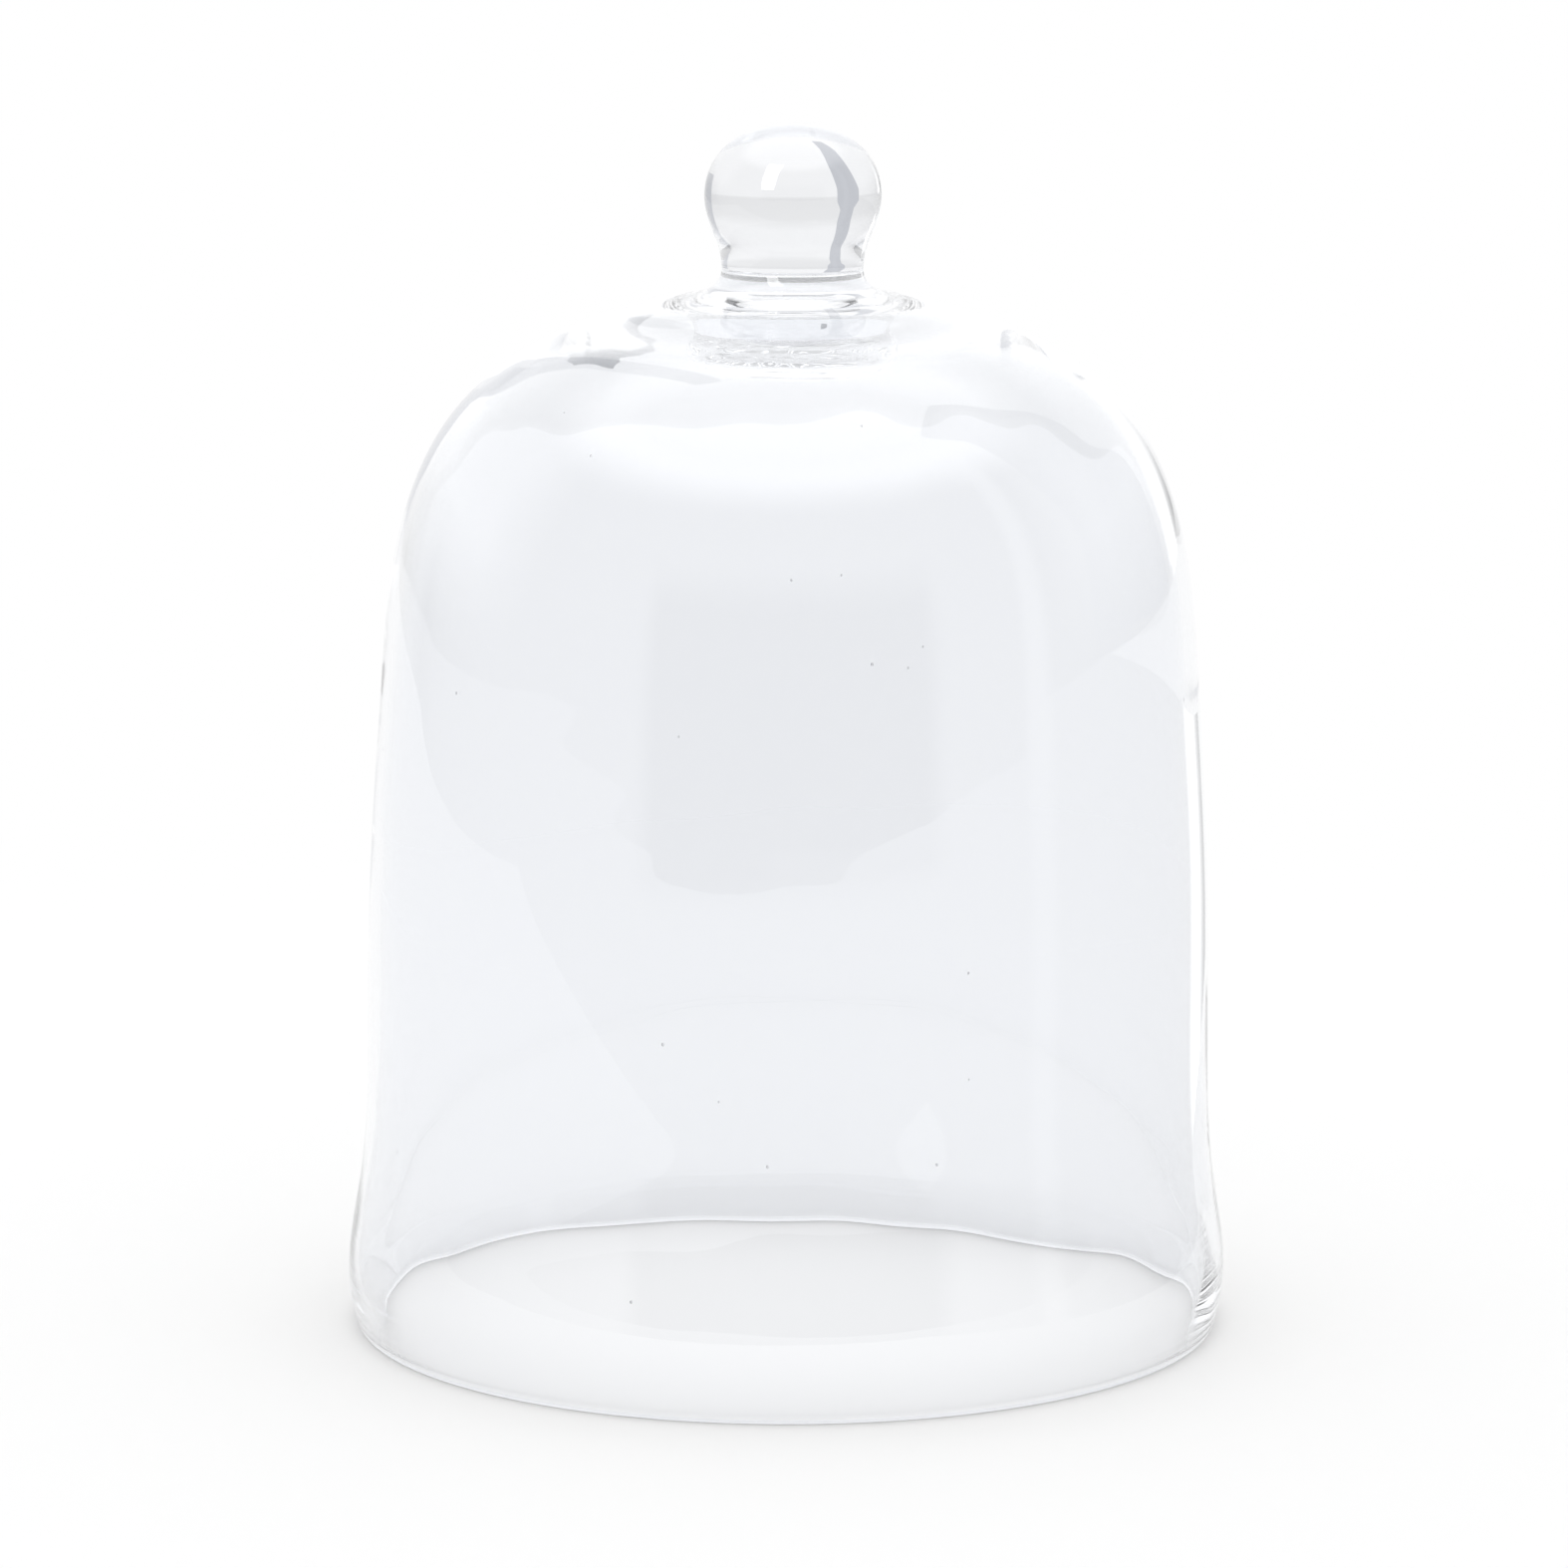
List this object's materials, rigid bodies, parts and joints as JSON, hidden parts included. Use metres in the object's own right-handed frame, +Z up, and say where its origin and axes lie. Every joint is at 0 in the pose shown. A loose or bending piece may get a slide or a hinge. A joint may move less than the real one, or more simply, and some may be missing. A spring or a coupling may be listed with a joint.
{
  "type": "bell jar dome",
  "caption": "Clear hand-blown glass bell with an open, softly flared foot, a rounded shoulder and a solid ball knob on a drawn neck, for covering a displayed object.",
  "frame": {"origin": "centre of the ring that the rim rests on, in the plane of the table", "axes": "+Z up along the bell's axis from the rim to the knob; +X and +Y are free, because the bell is a body of revolution"},
  "size_m": [0.2032, 0.2032, 0.277],
  "materials": {
    "blown_glass": "clear soda-lime glass, mouth blown, fire polished, faintly wavy",
    "solid_glass": "clear soda-lime glass, worked hot, fire polished"
  },
  "bodies": {
    "root": {"dome_shell": "blown_glass", "crown_pad": "solid_glass", "neck_collar": "solid_glass", "knob": "solid_glass"}
  },
  "joints": []
}
